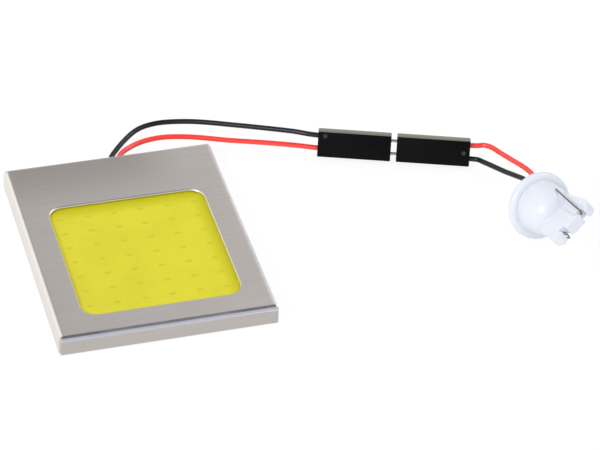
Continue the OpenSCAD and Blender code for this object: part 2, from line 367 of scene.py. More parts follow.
@dataclass(frozen=True)
class Moulded(Finish):
    """Moulded plastic, silicone or insulation with a soft depth to it."""

    depth: float = 0.0
    depth_reach: float = 0.5
    depth_color: Color = (1.0, 0.9, 0.8)
    coat: float = 0.0
    coat_roughness: float = 0.2

    def dress(self, bench: Bench) -> None:
        """Adds the plain dressing, then a little depth and a light coat of gloss."""
        super().dress(bench)
        bench.fix(Subsurface_Weight=self.depth, Subsurface_Scale=self.depth_reach * MM)
        bench.fix(Subsurface_Radius=self.depth_color)
        bench.fix(Coat_Weight=self.coat, Coat_Roughness=self.coat_roughness)


@dataclass(frozen=True)
class Phosphor(Moulded):
    """Yellow phosphor in clear silicone, with the chips showing faintly through it."""

    pitch: Pair = (5.04, 4.16)
    start: Pair = (2.57, -3.76)
    chip: Pair = (1.1, 0.6)
    chip_color: Color = (0.605, 0.57, 0.018)
    chip_rise: float = 0.03
    chip_fade: Pair = (0.3, 0.7)
    # painted shadow where the sheet shades the phosphor: the X and Y spans in millimetres over which
    # it sets in at the window's right and rear edges
    shadow_bands: tuple[Pair, Pair] = ((12.0, 14.8), (8.2, 11.5))
    painted_shadow_color: Color = (0.56, 0.52, 0.004)

    def dress(self, bench: Bench) -> None:
        """Adds the moulded dressing, painted shadow along the window's right and rear edges, and a
        darker dash over each chip.
        """
        super().dress(bench)
        parts = bench.split(bench.place())
        inside, edges = [], []
        for axis, pitch, start, size, shadow_bands in zip("XY", self.pitch, self.start, self.chip, self.shadow_bands):
            moved = bench.math("SUBTRACT", parts[axis], start)
            away = bench.math("ABSOLUTE", bench.math("WRAP", moved, pitch / 2, -pitch / 2))
            inside.append(bench.spread(away, tuple(size * f for f in self.chip_fade), (1, 0)))
            edges.append(bench.spread(parts[axis], shadow_bands))
        dash = bench.math("MULTIPLY", *inside)
        # paints shadow along the right and rear edges of the window
        bench.paint(bench.math("MAXIMUM", *edges), self.painted_shadow_color)
        bench.paint(dash, self.chip_color)
        bench.bump(dash, self.chip_rise)


@dataclass(frozen=True)
class Scarred(Moulded):
    """Moulded plastic with a paler scar at each gate and a painted reflection on its upper side.

    The reflection's way points up out of that side, and its level is measured along it.
    """

    scars: tuple[Point, ...] = ()
    reach: float = 0.5
    fade: float = 0.7
    scar_color: Color = (0.045, 0.043, 0.042)
    # painted reflection: the narrow upper side is painted pale, where it mirrors the bright room
    # behind at a grazing angle
    reflection_way: Point = (0.1166, 0.3388, 0.934)
    reflection_level: Pair = (17.04, 17.17)
    painted_reflection_color: Color = (0.20, 0.185, 0.15)

    def dress(self, bench: Bench) -> None:
        """Adds the moulded dressing, then the scars and the painted reflection."""
        super().dress(bench)
        point = bench.place()
        edge = (self.reach * self.fade, self.reach)
        away = [bench.measure("DISTANCE", point, scar) for scar in self.scars]
        spots = [bench.spread(distance, edge, (1, 0)) for distance in away]
        bench.paint(bench.chain("MAXIMUM", *spots), self.scar_color)
        level = bench.measure("DOT_PRODUCT", point, self.reflection_way)
        # paints a pale reflection along the upper side
        bench.paint(bench.spread(level, self.reflection_level), self.painted_reflection_color)


@dataclass(frozen=True)
class Soft(Finish):
    """Foam, tape or paper with a fibrous or open surface."""

    fibre: Point = (1, 1, 1)
    coarse: float = 1.6
    coarse_detail: float = 5.0
    coarse_depth: float = 2.0

    def dress(self, bench: Bench) -> None:
        """Adds a coarser grain, drawn out along the fibres, over the plain one."""
        super().dress(bench)
        scale = 1 / (self.coarse * self.grain_size)
        grain = bench.noise(bench.place(self.fibre), scale, self.coarse_detail)
        bench.bump(grain, self.coarse_depth * self.grain_depth)


class Skin(Enum):
    """Every finish on the object."""

    CASE = BrushedSheet("case_sheet", (0.88, 0.825, 0.775), 0.30, 1.0)
    CORE = Finish("board_core", (0.62, 0.62, 0.63), 0.35, 1.0)
    MASK = Finish("solder_mask", (0.86, 0.86, 0.83), 0.32, mottle=0.02)
    LAND = Finish("land_metal", (0.80, 0.62, 0.28), 0.3, 1.0)
    DAM = Moulded("dam_silicone", (0.86, 0.86, 0.82), 0.45, depth=0.1)
    PHOSPHOR = Phosphor(
        "phosphor", (0.69, 0.64, 0.027), 0.45, mottle=0.03, mottle_size=6.0, grain_detail=3.0,
        specular=0.3, depth=0.6, depth_reach=0.9, depth_color=(1.0, 1.0, 0.4),
    )
    CHIP = Finish("chip_crystal", (0.70, 0.72, 0.45), 0.15, mottle=0.02)
    RESISTOR = Finish("resistor_body", (0.02, 0.02, 0.024), 0.25)
    TINNED = Finish("tinned_metal", (0.70, 0.70, 0.70), 0.35, 1.0)
    SOLDER = Finish("solder", (0.68, 0.68, 0.69), 0.28, 1.0, grain_depth=0.01)
    TAPE = Soft("tape_foam", (0.80, 0.80, 0.77), 0.8)
    PAD = Soft("pad_foam", (0.78, 0.78, 0.75), 0.85, grain_depth=0.02)
    LINER = Soft("liner_paper", (0.74, 0.66, 0.40), 0.42, mottle=0.03, fibre=(1, 0.3, 1))
    BLACK = Moulded("black_jacket", (0.010, 0.010, 0.012), 0.28, mottle=0.2, specular=0.38)
    RED = Moulded("red_jacket", (1.0, 0.04, 0.025), 0.30, mottle=0.04, coat=0.6)
    HOUSING = Scarred(
        "housing_plastic", (0.0015, 0.0012, 0.0011), 0.35, mottle=0.2, specular=0.10,
        scars=((41.57, 20.48, 4.82), (66.48, 11.30, 3.34)),
    )
    CONTACT = Finish("contact_metal", (0.45, 0.44, 0.42), 0.25, 1.0)
    WEDGE = Moulded(
        "wedge_plastic", (0.745, 0.78, 0.85), 0.3, mottle=0.01, grain_depth=0.002, depth=0.15
    )
    FILL = Moulded("fill_resin", (0.80, 0.79, 0.72), 0.3, depth=0.1)
    WIRE = Finish("wire_metal", (0.24, 0.21, 0.20), 0.3, 1.0)

    def material(self) -> bpy.types.Material:
        """Returns the finish's material, built once."""
        return bpy.data.materials.get(self.value.label) or self.value.make()


# ---------------------------------------------------------------- mesh helpers


def vertex_ring(bm: Mesh, outline: Sequence[Point]) -> list[Edge]:
    """Adds a closed ring of edges.

    Args:
        bm: the mesh to add to.
        outline: the ring's points.

    Returns:
        The ring's edges.
    """
    verts = [bm.verts.new(p) for p in outline]
    return [bm.edges.new((a, b)) for a, b in zip(verts, verts[1:] + verts[:1])]


def arc(centre: Pair, radius: float, start: float, end: float, steps: int) -> list[Pair]:
    """Points on an arc.

    Args:
        centre: its centre.
        radius: its radius.
        start: first angle in degrees.
        end: last angle in degrees.
        steps: segments between them.

    Returns:
        steps + 1 points.
    """
    turns = [math.radians(start + (end - start) * k / steps) for k in range(steps + 1)]
    return [(centre[0] + radius * math.cos(t), centre[1] + radius * math.sin(t)) for t in turns]


def round_outline(size: Pair, radius: float, centre: Point, steps: int) -> list[Point]:
    """Draws a level rectangle with round corners.

    Args:
        size: its width along X and depth along Y.
        radius: corner radius.
        centre: its middle.
        steps: segments in each corner.

    Returns:
        The outline's points, anticlockwise.
    """
    half_x, half_y = (side / 2 - radius for side in size)
    points = []
    for quarter, (side_x, side_y) in enumerate(((1, 1), (-1, 1), (-1, -1), (1, -1))):
        corner = (centre[0] + side_x * half_x, centre[1] + side_y * half_y)
        turned = arc(corner, radius, 90 * quarter, 90 * (quarter + 1), steps)
        points += [(x, y, centre[2]) for x, y in turned]
    return points


def box_mesh(low: Point, high: Point) -> Mesh:
    """Builds a block between two corners.

    Args:
        low: the lowest corner.
        high: the highest corner.

    Returns:
        A closed mesh.
    """
    bm = bmesh.new()
    bmesh.ops.create_cube(bm, size=1)
    bmesh.ops.scale(bm, vec=[h - l for l, h in zip(low, high)], verts=bm.verts)
    bmesh.ops.translate(bm, vec=[(h + l) / 2 for l, h in zip(low, high)], verts=bm.verts)
    return bm


def extruded(outline: Sequence[Point], along: Point) -> Mesh:
    """Builds a closed prism.

    Args:
        outline: the flat outline's points, in order.
        along: how far and which way it is drawn out.

    Returns:
        A closed mesh.
    """
    bm = bmesh.new()
    face = bm.faces.new([bm.verts.new(p) for p in outline])
    drawn = bmesh.ops.extrude_face_region(bm, geom=[face], use_keep_orig=True)
    verts = [g for g in drawn["geom"] if isinstance(g, bmesh.types.BMVert)]
    bmesh.ops.translate(bm, vec=along, verts=verts)
    bmesh.ops.recalc_face_normals(bm, faces=bm.faces)
    return bm


def revolved(profile: Sequence[Pair], steps: int) -> Mesh:
    """Spins a profile about Z.

    Args:
        profile: radius and height of each point, from axis to axis.
        steps: segments in the full turn.

    Returns:
        A closed mesh.
    """
    bm = bmesh.new()
    verts = [bm.verts.new((r, 0, z)) for r, z in profile]
    edges = [bm.edges.new(pair) for pair in zip(verts, verts[1:])]
    turn = {"cent": (0, 0, 0), "axis": (0, 0, 1), "angle": math.tau, "steps": steps}
    bmesh.ops.spin(bm, geom=verts + edges, use_merge=True, **turn)
    bmesh.ops.remove_doubles(bm, verts=bm.verts, dist=TINY)
    bmesh.ops.recalc_face_normals(bm, faces=bm.faces)
    return bm


def as_data(bm: Mesh, name: str) -> bpy.types.Mesh:
    """Turns a mesh that is being built into mesh data, and frees it."""
    data = bpy.data.meshes.new(name)
    bm.to_mesh(data)
    bm.free()
    return data


def linked(name: str, data: bpy.types.ID) -> Piece:
    """Adds an object to the scene.

    Args:
        name: its name.
        data: its mesh, curve, lamp or camera data.

    Returns:
        The object.
    """
    thing = bpy.data.objects.new(name, data)
    bpy.context.scene.collection.objects.link(thing)
    return thing


def discard(thing: Piece) -> None:
    """Deletes an object and its mesh."""
    data = thing.data
    bpy.data.objects.remove(thing)
    bpy.data.meshes.remove(data)


def joined(parts: Iterable[Mesh]) -> Mesh:
    """Puts several meshes into one.

    Args:
        parts: the meshes, which are freed.

    Returns:
        One mesh with all their faces.
    """
    whole = bmesh.new()
    for part in parts:
        data = as_data(part, "part")
        whole.from_mesh(data)
        bpy.data.meshes.remove(data)
    return whole


def modified(bm: Mesh, add: Callable[[Piece], None]) -> Mesh:
    """Runs modifiers on a mesh and returns what they make of it.

    Args:
        bm: the mesh, which is freed.
        add: puts the modifiers on an object that holds the mesh.

    Returns:
        The new mesh.
    """
    holder = linked("blank", as_data(bm, "blank"))
    add(holder)
    shaped = holder.evaluated_get(bpy.context.evaluated_depsgraph_get())
    result = bmesh.new()
    result.from_mesh(shaped.to_mesh())
    shaped.to_mesh_clear()
    discard(holder)
    return result


def carved(body: Mesh, cutters: Sequence[Mesh]) -> Mesh:
    """Cuts shapes out of a body.

    Args:
        body: the closed body, which is freed.
        cutters: closed cutters, which are freed.

    Returns:
        The cut body.
    """
    tools = [linked("cutter", as_data(cutter, "cutter")) for cutter in cutters]

    def add(holder: Piece) -> None:
        """Puts one cut on the body for each tool."""
        for tool in tools:
            cut = holder.modifiers.new("cut", "BOOLEAN")
            cut.operation, cut.object, cut.solver = "DIFFERENCE", tool, "EXACT"

    result = modified(body, add)
    for tool in tools:
        discard(tool)
    return result


def as_piece(
    bm: Mesh,
    name: str,
    skin: Skin,
    replaces: Sequence[str],
    placing: Optional[Matrix] = None,
    sharp: float = 35.0,
) -> Piece:
    """Turns a mesh in millimetres into a finished piece of the object.

    Args:
        bm: the mesh, which is freed.
        name: the piece's name.
        skin: its finish.
        replaces: the frame's nodes that it stands for.
        placing: where it goes, in millimetres.
        sharp: edges sharper than this angle in degrees stay sharp.

    Returns:
        The piece.
    """
    bm.transform(Matrix.Scale(MM, 4) @ (placing or Matrix.Identity(4)))
    data = as_data(bm, name)
    data.shade_smooth()
    data.set_sharp_from_angle(angle=math.radians(sharp))
    return declared(linked(name, data), skin, replaces)


def declared(piece: Piece, skin: Skin, replaces: Sequence[str]) -> Piece:
    """Dresses a piece and tells the frame about it.

    Args:
        piece: the piece.
        skin: its finish.
        replaces: the frame's nodes that it stands for.

    Returns:
        The same piece.
    """
    piece.data.materials.append(skin.material())
    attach(piece, "root")
    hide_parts(*replaces)
    log.info("piece %s, finish %s", piece.name, skin.value.name)
    return piece


def edge_round(piece: Piece, width: float) -> None:
    """Rounds the sharp edges of a piece.

    Args:
        piece: the piece.
        width: width of the rounding in millimetres.
    """
    bevel = piece.modifiers.new("edges", "BEVEL")
    bevel.width, bevel.segments = width * MM, EDGE_STEPS
    bevel.limit_method, bevel.angle_limit = "ANGLE", math.radians(EDGE_ANGLE)
    bevel.harden_normals = True


def dress_nodes(skins: dict[str, Skin]) -> None:
    """Gives frame nodes that stay their finishes.

    Args:
        skins: the finish of each node.
    """
    for name, skin in skins.items():
        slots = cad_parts[name].data.materials
        slots.clear()
        slots.append(skin.material())
        log.info("node %s, finish %s", name, skin.value.name)


@dataclass
class Laid:
    """Something built in its own axes and then laid in the frame's, turned by degrees."""

    corner: Point = (0.0, 0.0, 0.0)
    turns: Point = (0.0, 0.0, 0.0)

    @property
    def placing(self) -> Matrix:
        """Where it lies, in millimetres."""
        turned = Euler([math.radians(a) for a in self.turns]).to_matrix().to_4x4()
        return Matrix.Translation(self.corner) @ turned


# ---------------------------------------------------------------- leads


def smooth_route(points: Sequence[Point], rounds: int) -> list[Vector]:
    """Adds points to a route along one smooth curve.

    The middle of each span lies on the cubic through the four points about it.

    Args:
        points: the route's own points.
        rounds: how many times the spans are halved.

    Returns:
        The finer route.
    """
    route = [Vector(p) for p in points]
    for _ in range(rounds):
        last = len(route) - 1
        finer = []
        for i in range(last):
            a, b, c, d = route[max(i - 1, 0)], route[i], route[i + 1], route[min(i + 2, last)]
            finer += [b, (9 * b + 9 * c - a - d) / 16]
        route = finer + [route[last]]
    return route


@dataclass
class Lead:
    """One insulated lead on a given route, in millimetres."""

    name: str
    node: str
    skin: Skin
    route: Sequence[Point]
    diameter: float = 1.0
    rounds: int = 3
    roundness: int = 6
    tube: Piece = field(init=False)

    def build(self) -> Piece:
        """Builds the lead as a round tube on one open spline.

        Returns:
            The lead.
        """
        data = bpy.data.curves.new(self.name, "CURVE")
        data.dimensions = "3D"
        data.bevel_depth, data.bevel_resolution = self.diameter / 2 * MM, self.roundness
        data.use_fill_caps = True
        route = smooth_route(self.route, self.rounds)
        spline = data.splines.new("POLY")
        spline.points.add(len(route) - 1)
        for slot, point in zip(spline.points, route):
            slot.co = (*(point * MM), 1)
        spline.use_smooth = True
        self.tube = declared(linked(self.name, data), self.skin, [self.node])
        return self.tube

    def length(self) -> float:
        """Returns the length of the route in metres."""
        route = smooth_route(self.route, self.rounds)
        return sum((b - a).length for a, b in zip(route, route[1:])) * MM


# ---------------------------------------------------------------- folded case


@dataclass
class FoldedCase:
    """Folded aluminium case with open corners and a window in its top."""

    width: float = 40.0
    depth: float = 50.0
    top: float = 3.8
    foot: float = 0.2
    sheet: float = 0.5
    bend: float = 1.0
    bend_steps: int = 10
    window: Pair = (29.3, 31.1)
    window_r: float = 2.8
    window_at: Pair = (0.2, -4.0)
    window_steps: int = 10
    end_reach: float = 0.8
    side_reach: float = 0.4
    notch: Pair = (-0.8, 3.2)
    notch_top: float = 3.2
    edge: float = 0.07
    rim: float = 0.32
    rim_steps: int = 4
    flat_weight: int = 100

    @property
    def plate(self) -> Pair:
        """Half width and half depth of the flat top."""
        return self.width / 2 - self.bend, self.depth / 2 - self.bend

    @property
    def bend_length(self) -> float:
        """How much of the blank goes into one bend."""
        return self.bend * math.pi / 2

    def blank(self) -> Mesh:
        """Cuts the flat blank: the top with its window, and four flaps.

        Returns:
            The blank, with its own flat coordinates as its UV map.
        """
        bm = bmesh.new()
        weight = bm.edges.layers.float.new("bevel_weight_edge")
        half_x, half_y = self.plate
        middle = (*self.window_at, self.top)
        rim = vertex_ring(bm, round_outline(self.window, self.window_r, middle, self.window_steps))
        for edge in rim:
            edge[weight] = 1.0
        corners = [(-half_x, -half_y), (half_x, -half_y), (half_x, half_y), (-half_x, half_y)]
        outer = vertex_ring(bm, [(x, y, self.top) for x, y in corners])
        bmesh.ops.triangle_fill(bm, edges=rim + outer, use_beauty=True, use_dissolve=False)
        outward = ((0, -1, 0), (1, 0, 0), (0, 1, 0), (-1, 0, 0))
        for edge, reach, way in zip(outer, [self.end_flap_reach, self.side_flap_reach] * 2, outward):
            self.flap(bm, edge, reach, Vector(way))
        self.exit_notch(bm)
        flat = bm.loops.layers.uv.new(DEVELOPED)
        for face in bm.faces:
            for loop in face.loops:
                loop[flat].uv = loop.vert.co.xy / UV_SPAN + Vector((0.5, 0.5))
        return bm

    def end_flap_reach(self, stop: float) -> float:
        """How far the front and rear flaps have widened, round-cornered, at a distance out."""
        short = max(1 - stop / self.bend_length, 0)
        return self.end_reach * math.sqrt(1 - short**2)

    def side_flap_reach(self, stop: float) -> float:
        """How far the side flaps have widened at a distance out, clear of the end flaps."""
        return min(max(stop - self.end_reach, 0), self.side_reach)

    def flap(self, bm: Mesh, edge: Edge, reach: Callable[[float], float], way: Vector) -> None:
        """Draws one flap out from the edge of the top.

        Args:
            bm: the blank.
            edge: the edge that it grows from.
            reach: how far it has widened at each end at a distance out.
            way: the way out.
        """
        stops = [self.bend_length * (k + 1) / self.bend_steps for k in range(self.bend_steps)]
        stops.append(self.bend_length + self.top - self.bend - self.foot)
        along = way.cross(Vector((0, 0, 1)))
        starts = [vert.co.copy() for vert in edge.verts]
        for stop in stops:
            drawn = bmesh.ops.extrude_edge_only(bm, edges=[edge])["geom"]
            verts = [g for g in drawn if isinstance(g, bmesh.types.BMVert)]
            edge = bm.edges.get(verts)
            for vert in verts:
                base = min(starts, key=lambda c: abs((c - vert.co).dot(along)))
                side = math.copysign(1, base.dot(along))
                vert.co = base + way * stop + along * side * reach(stop)

    def exit_notch(self, bm: Mesh) -> None:
        """Cuts the notch for the leads in the rear flap."""
        half_y = self.plate[1]
        drop = math.acos((self.notch_top - self.top + self.bend) / self.bend) * self.bend
        planes = [((x, 0, 0), (1, 0, 0)) for x in self.notch]
        planes.append(((0, half_y + drop, 0), (0, 1, 0)))
        for point, normal in planes:
            faces = [f for f in bm.faces if f.calc_center_median().y > half_y]
            parts = dict.fromkeys(p for face in faces for p in (face, *face.edges, *face.verts))
            bmesh.ops.bisect_plane(bm, geom=list(parts), plane_co=point, plane_no=normal, dist=TINY)
        gone = []
        for face in bm.faces:
            middle = face.calc_center_median()
            if self.notch[0] < middle.x < self.notch[1] and middle.y > half_y + drop:
                gone.append(face)
        bmesh.ops.delete(bm, geom=gone, context="FACES")

    def folded(self, point: Vector) -> Vector:
        """Moves a point of the blank to its place on the folded case.

        Args:
            point: a point of the flat blank.

        Returns:
            Its place after folding.
        """
        half = self.plate
        over = [abs(point[axis]) - half[axis] for axis in (0, 1)]
        axis = 1 if over[1] > over[0] else 0
        if over[axis] <= TINY:
            return point
        turn = min(over[axis] / self.bend, math.pi / 2)
        drop = over[axis] - turn * self.bend
        moved = point.copy()
        moved[axis] = math.copysign(half[axis] + self.bend * math.sin(turn), point[axis])
        moved.z = self.top - self.bend * (1 - math.cos(turn)) - drop
        return moved

    def build(self) -> Piece:
        """Folds the blank and gives it its thickness.

        Returns:
            The case.
        """
        bm = self.blank()
        for vert in bm.verts:
            vert.co = self.folded(vert.co)
        bmesh.ops.recalc_face_normals(bm, faces=bm.faces)
        top = max(bm.faces, key=lambda f: f.calc_center_median().z)
        if top.normal.z < 0:
            bmesh.ops.reverse_faces(bm, faces=bm.faces)
        case = as_piece(bm, "folded_case", Skin.CASE, ["case_shell"])
        wall = case.modifiers.new("wall", "SOLIDIFY")
        wall.thickness, wall.offset, wall.use_even_offset = self.sheet * MM, -1, True
        rim = case.modifiers.new("rim", "BEVEL")
        rim.width, rim.segments, rim.limit_method = self.rim * MM, self.rim_steps, "WEIGHT"
        edge_round(case, self.edge)
        flat = case.modifiers.new("flat", "WEIGHTED_NORMAL")
        flat.mode, flat.weight, flat.keep_sharp = "FACE_AREA", self.flat_weight, True
        return case


# ---------------------------------------------------------------- light engine


@dataclass
class LightEngine:
    """Circuit board, chips, dam and phosphor inside the case, and the pad below."""

    field_size: Pair = (32.0, 34.0)
    field_r: float = 2.2
    field_y: float = -4.0
    low: float = 2.1
    high: float = 3.0
    brim: float = 3.26
    creep: Pair = (1.2, 2.0)
    edge: float = 0.12

    def outline(self, inset: float, z: float) -> list[Point]:
        """Draws an outline of the field.

        Args:
            inset: how far inside the field's border it runs.
            z: its height.

        Returns:
            The outline's points.
        """
        size = tuple(side - 2 * inset for side in self.field_size)
        return round_outline(size, self.field_r, (0.0, self.field_y, z), CORNER_STEPS)

    def pour(self) -> Piece:
        """Builds the phosphor field as one slab that creeps up at its border.

        Returns:
            The field.
        """
        bm = bmesh.new()
        flat, slope = self.creep
        levels = ((0.0, self.low), (0.0, self.brim), (flat, self.brim), (flat + slope, self.high))
        rings = [[bm.verts.new(point) for point in self.outline(*level)] for level in levels]
        for lower, upper in zip(rings, rings[1:]):
            for k in range(len(lower)):
                bm.faces.new((lower[k - 1], lower[k], upper[k], upper[k - 1]))
        bm.faces.new(rings[0])
        bm.faces.new(rings[-1])
        bmesh.ops.recalc_face_normals(bm, faces=bm.faces)
        piece = as_piece(bm, "phosphor_field", Skin.PHOSPHOR, ["phosphor_layer"])
        edge_round(piece, self.edge)
        return piece

    def build(self) -> None:
        """Builds the field and dresses the rest of the stack."""
        self.pour()
        dress_nodes(
            {
                "circuit_board": Skin.CORE,
                "board_face": Skin.MASK,
                "solder_lands": Skin.LAND,
                "silicone_dam": Skin.DAM,
                "led_chips": Skin.CHIP,
                "resistors": Skin.RESISTOR,
                "resistor_caps": Skin.TINNED,
                "solder_joints": Skin.SOLDER,
                "side_tapes": Skin.TAPE,
                "foam_pad": Skin.PAD,
                "release_liner": Skin.LINER,
            }
        )


# ---------------------------------------------------------------- connector


@dataclass
class Connector(Laid):
    """Two-way crimp connector: two housings with their contacts, in its own axes."""

    corner: Point = (39.8, 19.5, 0.9102)
    turns: Point = (-21.0, 0.0, -19.0)
    length: float = 14.0
    thick: float = 2.54
    width: float = 5.08
    pitch: float = 2.54
    gap: float = 1.1
    cavity: float = 1.74
    wall: float = 0.8
    pin_hole: float = 0.9
    latch: Point = (5.0, 2.2, 1.2)
    gate_radius: float = 0.5
    gate_taper: float = 0.8
    gate_deep: float = 0.12
    gate_steps: int = 24
    gates: tuple[Pair, Pair] = ((1.35, 4.19), (1.2, 2.48))
    edge: float = 0.16
    edge_steps: int = 3

    @property
    def span(self) -> float:
        """Length of the two mated housings with the gap between them."""
        return 2 * self.length + self.gap

    @property
    def other_half(self) -> Matrix:
        """Turns a housing end for end about the middle of the connector."""
        turned = Matrix.Rotation(math.pi, 4, "Y")
        return Matrix.Translation((self.span, 0, self.width)) @ turned

    def bore(self, size: float, z: float, start: float, end: float) -> Mesh:
        """Builds the cutter for a square bore along the housing.

        Args:
            size: the bore's width and height.
            z: how far its axis is up the housing.
            start: where it starts along the housing.
            end: where it ends.

        Returns:
            A closed cutter.
        """
        mid, half = self.thick / 2, size / 2
        return box_mesh((start, mid - half, z - half), (end, mid + half, z + half))

    def housing(self) -> Mesh:
        """Builds one housing with its entries, pin holes and latch windows.

        Returns:
            A closed mesh, lead entries at X = 0.
        """
        body = box_mesh((0, 0, 0), (self.length, self.thick, self.width))
        rounding = {"profile": 0.5, "affect": "EDGES", "material": -1}
        bmesh.ops.bevel(
            body, geom=list(body.edges), offset=self.edge, segments=self.edge_steps, **rounding
        )
        start, long, broad = self.latch
        inner = self.length - self.wall
        cutters = []
        for row in (-0.5, 0.5):
            z = self.width / 2 + row * self.pitch
            low = (start, self.thick / 2, z - broad / 2)
            high = (start + long, self.thick + CLEAR, z + broad / 2)
            cutters += [
                self.bore(self.cavity, z, -CLEAR, inner),
                self.bore(self.pin_hole, z, inner - CLEAR, self.length + CLEAR),
                box_mesh(low, high),
            ]
        return carved(body, cutters)

    def gate_mark(self, x: float, z: float) -> Mesh:
        """Builds the small mark that the mould's gate leaves on the face.

        Args:
            x: how far the mark is from the entry end.
            z: how far it is up the face.

        Returns:
            A closed mesh, mostly sunk in the face.
        """
        ends = {"radius1": self.gate_radius, "radius2": self.gate_radius * self.gate_taper}
        turn = Matrix.Translation((x, 0.0, z)) @ Matrix.Rotation(math.pi / 2, 4, "X")
        bm = bmesh.new()
        bmesh.ops.create_cone(
            bm, cap_ends=True, segments=self.gate_steps, depth=self.gate_deep, matrix=turn, **ends
        )
        return bm

    def build(self) -> list[Piece]:
        """Builds both housings and dresses the contacts.

        Returns:
            The two housings.
        """
        halves = []
        for name, node, half, gate in zip(
            ("socket_shell", "pin_shell"),
            ("socket_housing", "pin_housing"),
            (Matrix.Identity(4), self.other_half),
            self.gates,
        ):
            whole = joined([self.housing(), self.gate_mark(*gate)])
            halves.append(as_piece(whole, name, Skin.HOUSING, [node], self.placing @ half))
        dress_nodes({"socket_contacts": Skin.CONTACT, "pin_contacts": Skin.CONTACT})
        return halves


# ---------------------------------------------------------------- wedge adapter


@dataclass
class WedgeAdapter(Laid):
    """Wedge-base adapter, drawn from the back of its collar along +Z."""

    corner: Point = (73.8, -10.0, 6.01)
    turns: Point = (66.0, -32.0, 24.0)
    collar_d: float = 12.8
    collar_t: float = 1.4
    bead_r: float = 0.95
    bead_turn: float = 145.0
    bead_steps: int = 14
    foot: float = 0.15
    around: int = 96
    cup_d: float = 7.6
    cup_deep: float = 3.0
    dome_r: float = 4.9
    dome_l: float = 7.4
    dome_full: float = 2.8
    dome_sunk: float = 0.6
    dome_steps: int = 20
    blade_w: float = 9.5
    blade_t: float = 2.4
    blade_l: float = 12.4
    blade_sunk: float = 0.2
    root_w: float = 8.4
    root_from_end: float = 7.0
    full_from_end: float = 2.4
    ear_r: float = 1.4
    wire_x: float = 2.3
    wire_d: float = 0.3
    wire_route: tuple[Point, ...] = (
        (2.3, 0, 9), (2.3, 0, 11.5), (2.3, 0.05, 12.8), (2.32, 0.6, 13.35),
        (2.36, 1.3, 13.1), (2.46, 1.58, 12.2), (2.85, 2.3, 9.0), (3.3, 3.1, 5.65),
    )
    notch_w: float = 1.1
    notch_deep: float = 1.3
    groove_w: float = 2.2
    groove_deep: float = 0.3
    groove_l: float = 8.0
    voxel: float = 0.11
    soften: int = 4
    soften_by: float = 0.5

    @property
    def end_z(self) -> float:
        """Height of the blade's end above the back of the collar."""
        return self.collar_t + self.blade_l

    def body(self) -> Mesh:
        """Spins the collar, its bead, the dome and the cup behind them."""
        rim, cup = self.collar_d / 2, self.cup_d / 2
        profile = [(0, self.cup_deep), (cup, self.cup_deep), (cup, 0)]
        profile += [(rim - self.foot, 0), (rim, self.foot)]
        bead = (rim - self.bead_r, self.collar_t - self.bead_r)
        profile += arc(bead, self.bead_r, 0, self.bead_turn, self.bead_steps)
        base, power = self.collar_t - self.dome_sunk, 2 / self.dome_full
        for k in range(self.dome_steps):
            turn = math.pi / 2 * k / self.dome_steps
            across = self.dome_r * math.cos(turn) ** power
            profile.append((across, base + self.dome_l * math.sin(turn) ** power))
        return revolved(profile + [(0, base + self.dome_l)], self.around)

    def blade(self) -> Mesh:
        """Builds the blade with its ears, notches and wire grooves."""
        end, root, full = self.end_z, self.root_w / 2, self.blade_w / 2
        right = [(root, self.cup_deep + self.blade_sunk), (root, end - self.root_from_end)]
        right.append((full, end - self.full_from_end))
        right += arc((full - self.ear_r, end - self.ear_r), self.ear_r, 0, 90, CORNER_STEPS)
        outline = right + [(-x, z) for x, z in reversed(right)]
        slab = extruded([(x, -self.blade_t / 2, z) for x, z in outline], (0, self.blade_t, 0))
        half_notch, half_groove = self.notch_w / 2, self.groove_w / 2
        out, top = self.blade_t / 2 + CLEAR, end + CLEAR
        cutters = []
        for side in (-1, 1):
            x = side * self.wire_x
            low = (x - half_notch, -out, end - self.notch_deep)
            cutters.append(box_mesh(low, (x + half_notch, out, top)))
            face = self.blade_t / 2 - self.groove_deep
            near, far = sorted((side * face, side * out))
            low = (x - half_groove, near, end - self.groove_l)
            cutters.append(box_mesh(low, (x + half_groove, far, top)))
        return carved(slab, cutters)

    def moulding(self) -> Piece:
        """Melts the parts into one moulding with small fillets.

        Returns:
            The moulding.
        """

        def melt(holder: Piece) -> None:
            """Adds the remesh and a light smoothing."""
            remesh = holder.modifiers.new("melt", "REMESH")
            remesh.mode, remesh.voxel_size, remesh.adaptivity = "VOXEL", self.voxel, 0
            soften = holder.modifiers.new("soften", "SMOOTH")
            soften.factor, soften.iterations = self.soften_by, self.soften

        bm = modified(joined([self.body(), self.blade()]), melt)
        return as_piece(bm, "wedge_moulding", Skin.WEDGE, ["wedge_body"], self.placing, sharp=180)

    def contact_wire(self, side: int, name: str, node: str) -> Piece:
        """Builds one contact wire, folded over the end of the blade.

        Args:
            side: 1 for the front face and -1 for the rear face.
            name: the piece's name.
            node: the frame's node that it stands for.

        Returns:
            The wire.
        """
        route = [self.placing @ Vector((side * x, side * y, z)) for x, y, z in self.wire_route]
        return Lead(name, node, Skin.WIRE, route, self.wire_d).build()

    def build(self) -> list[Piece]:
        """Builds the moulding and both wires, and dresses the fill.

        Returns:
            The new pieces.
        """
        dress_nodes({"wedge_fill": Skin.FILL})
        return [
            self.moulding(),
            self.contact_wire(1, "front_wire", "front_contact_wire"),
            self.contact_wire(-1, "rear_wire", "rear_contact_wire"),
        ]


# ---------------------------------------------------------------- studio


@dataclass(frozen=True)
class Lamp:
    """A square soft lamp that looks at the object."""

    name: str
    place: Point
    watts: float
    size: float
    target: Point = (0.02, 0, 0)

    def hang(self) -> None:
        """Adds the lamp to the scene."""
        data = bpy.data.lights.new(self.name, "AREA")
        data.energy, data.size = self.watts, self.size
        lamp = linked(self.name, data)
        lamp.location = self.place
        way = Vector(self.target) - Vector(self.place)
        lamp.rotation_euler = way.to_track_quat("-Z", "Y").to_euler()


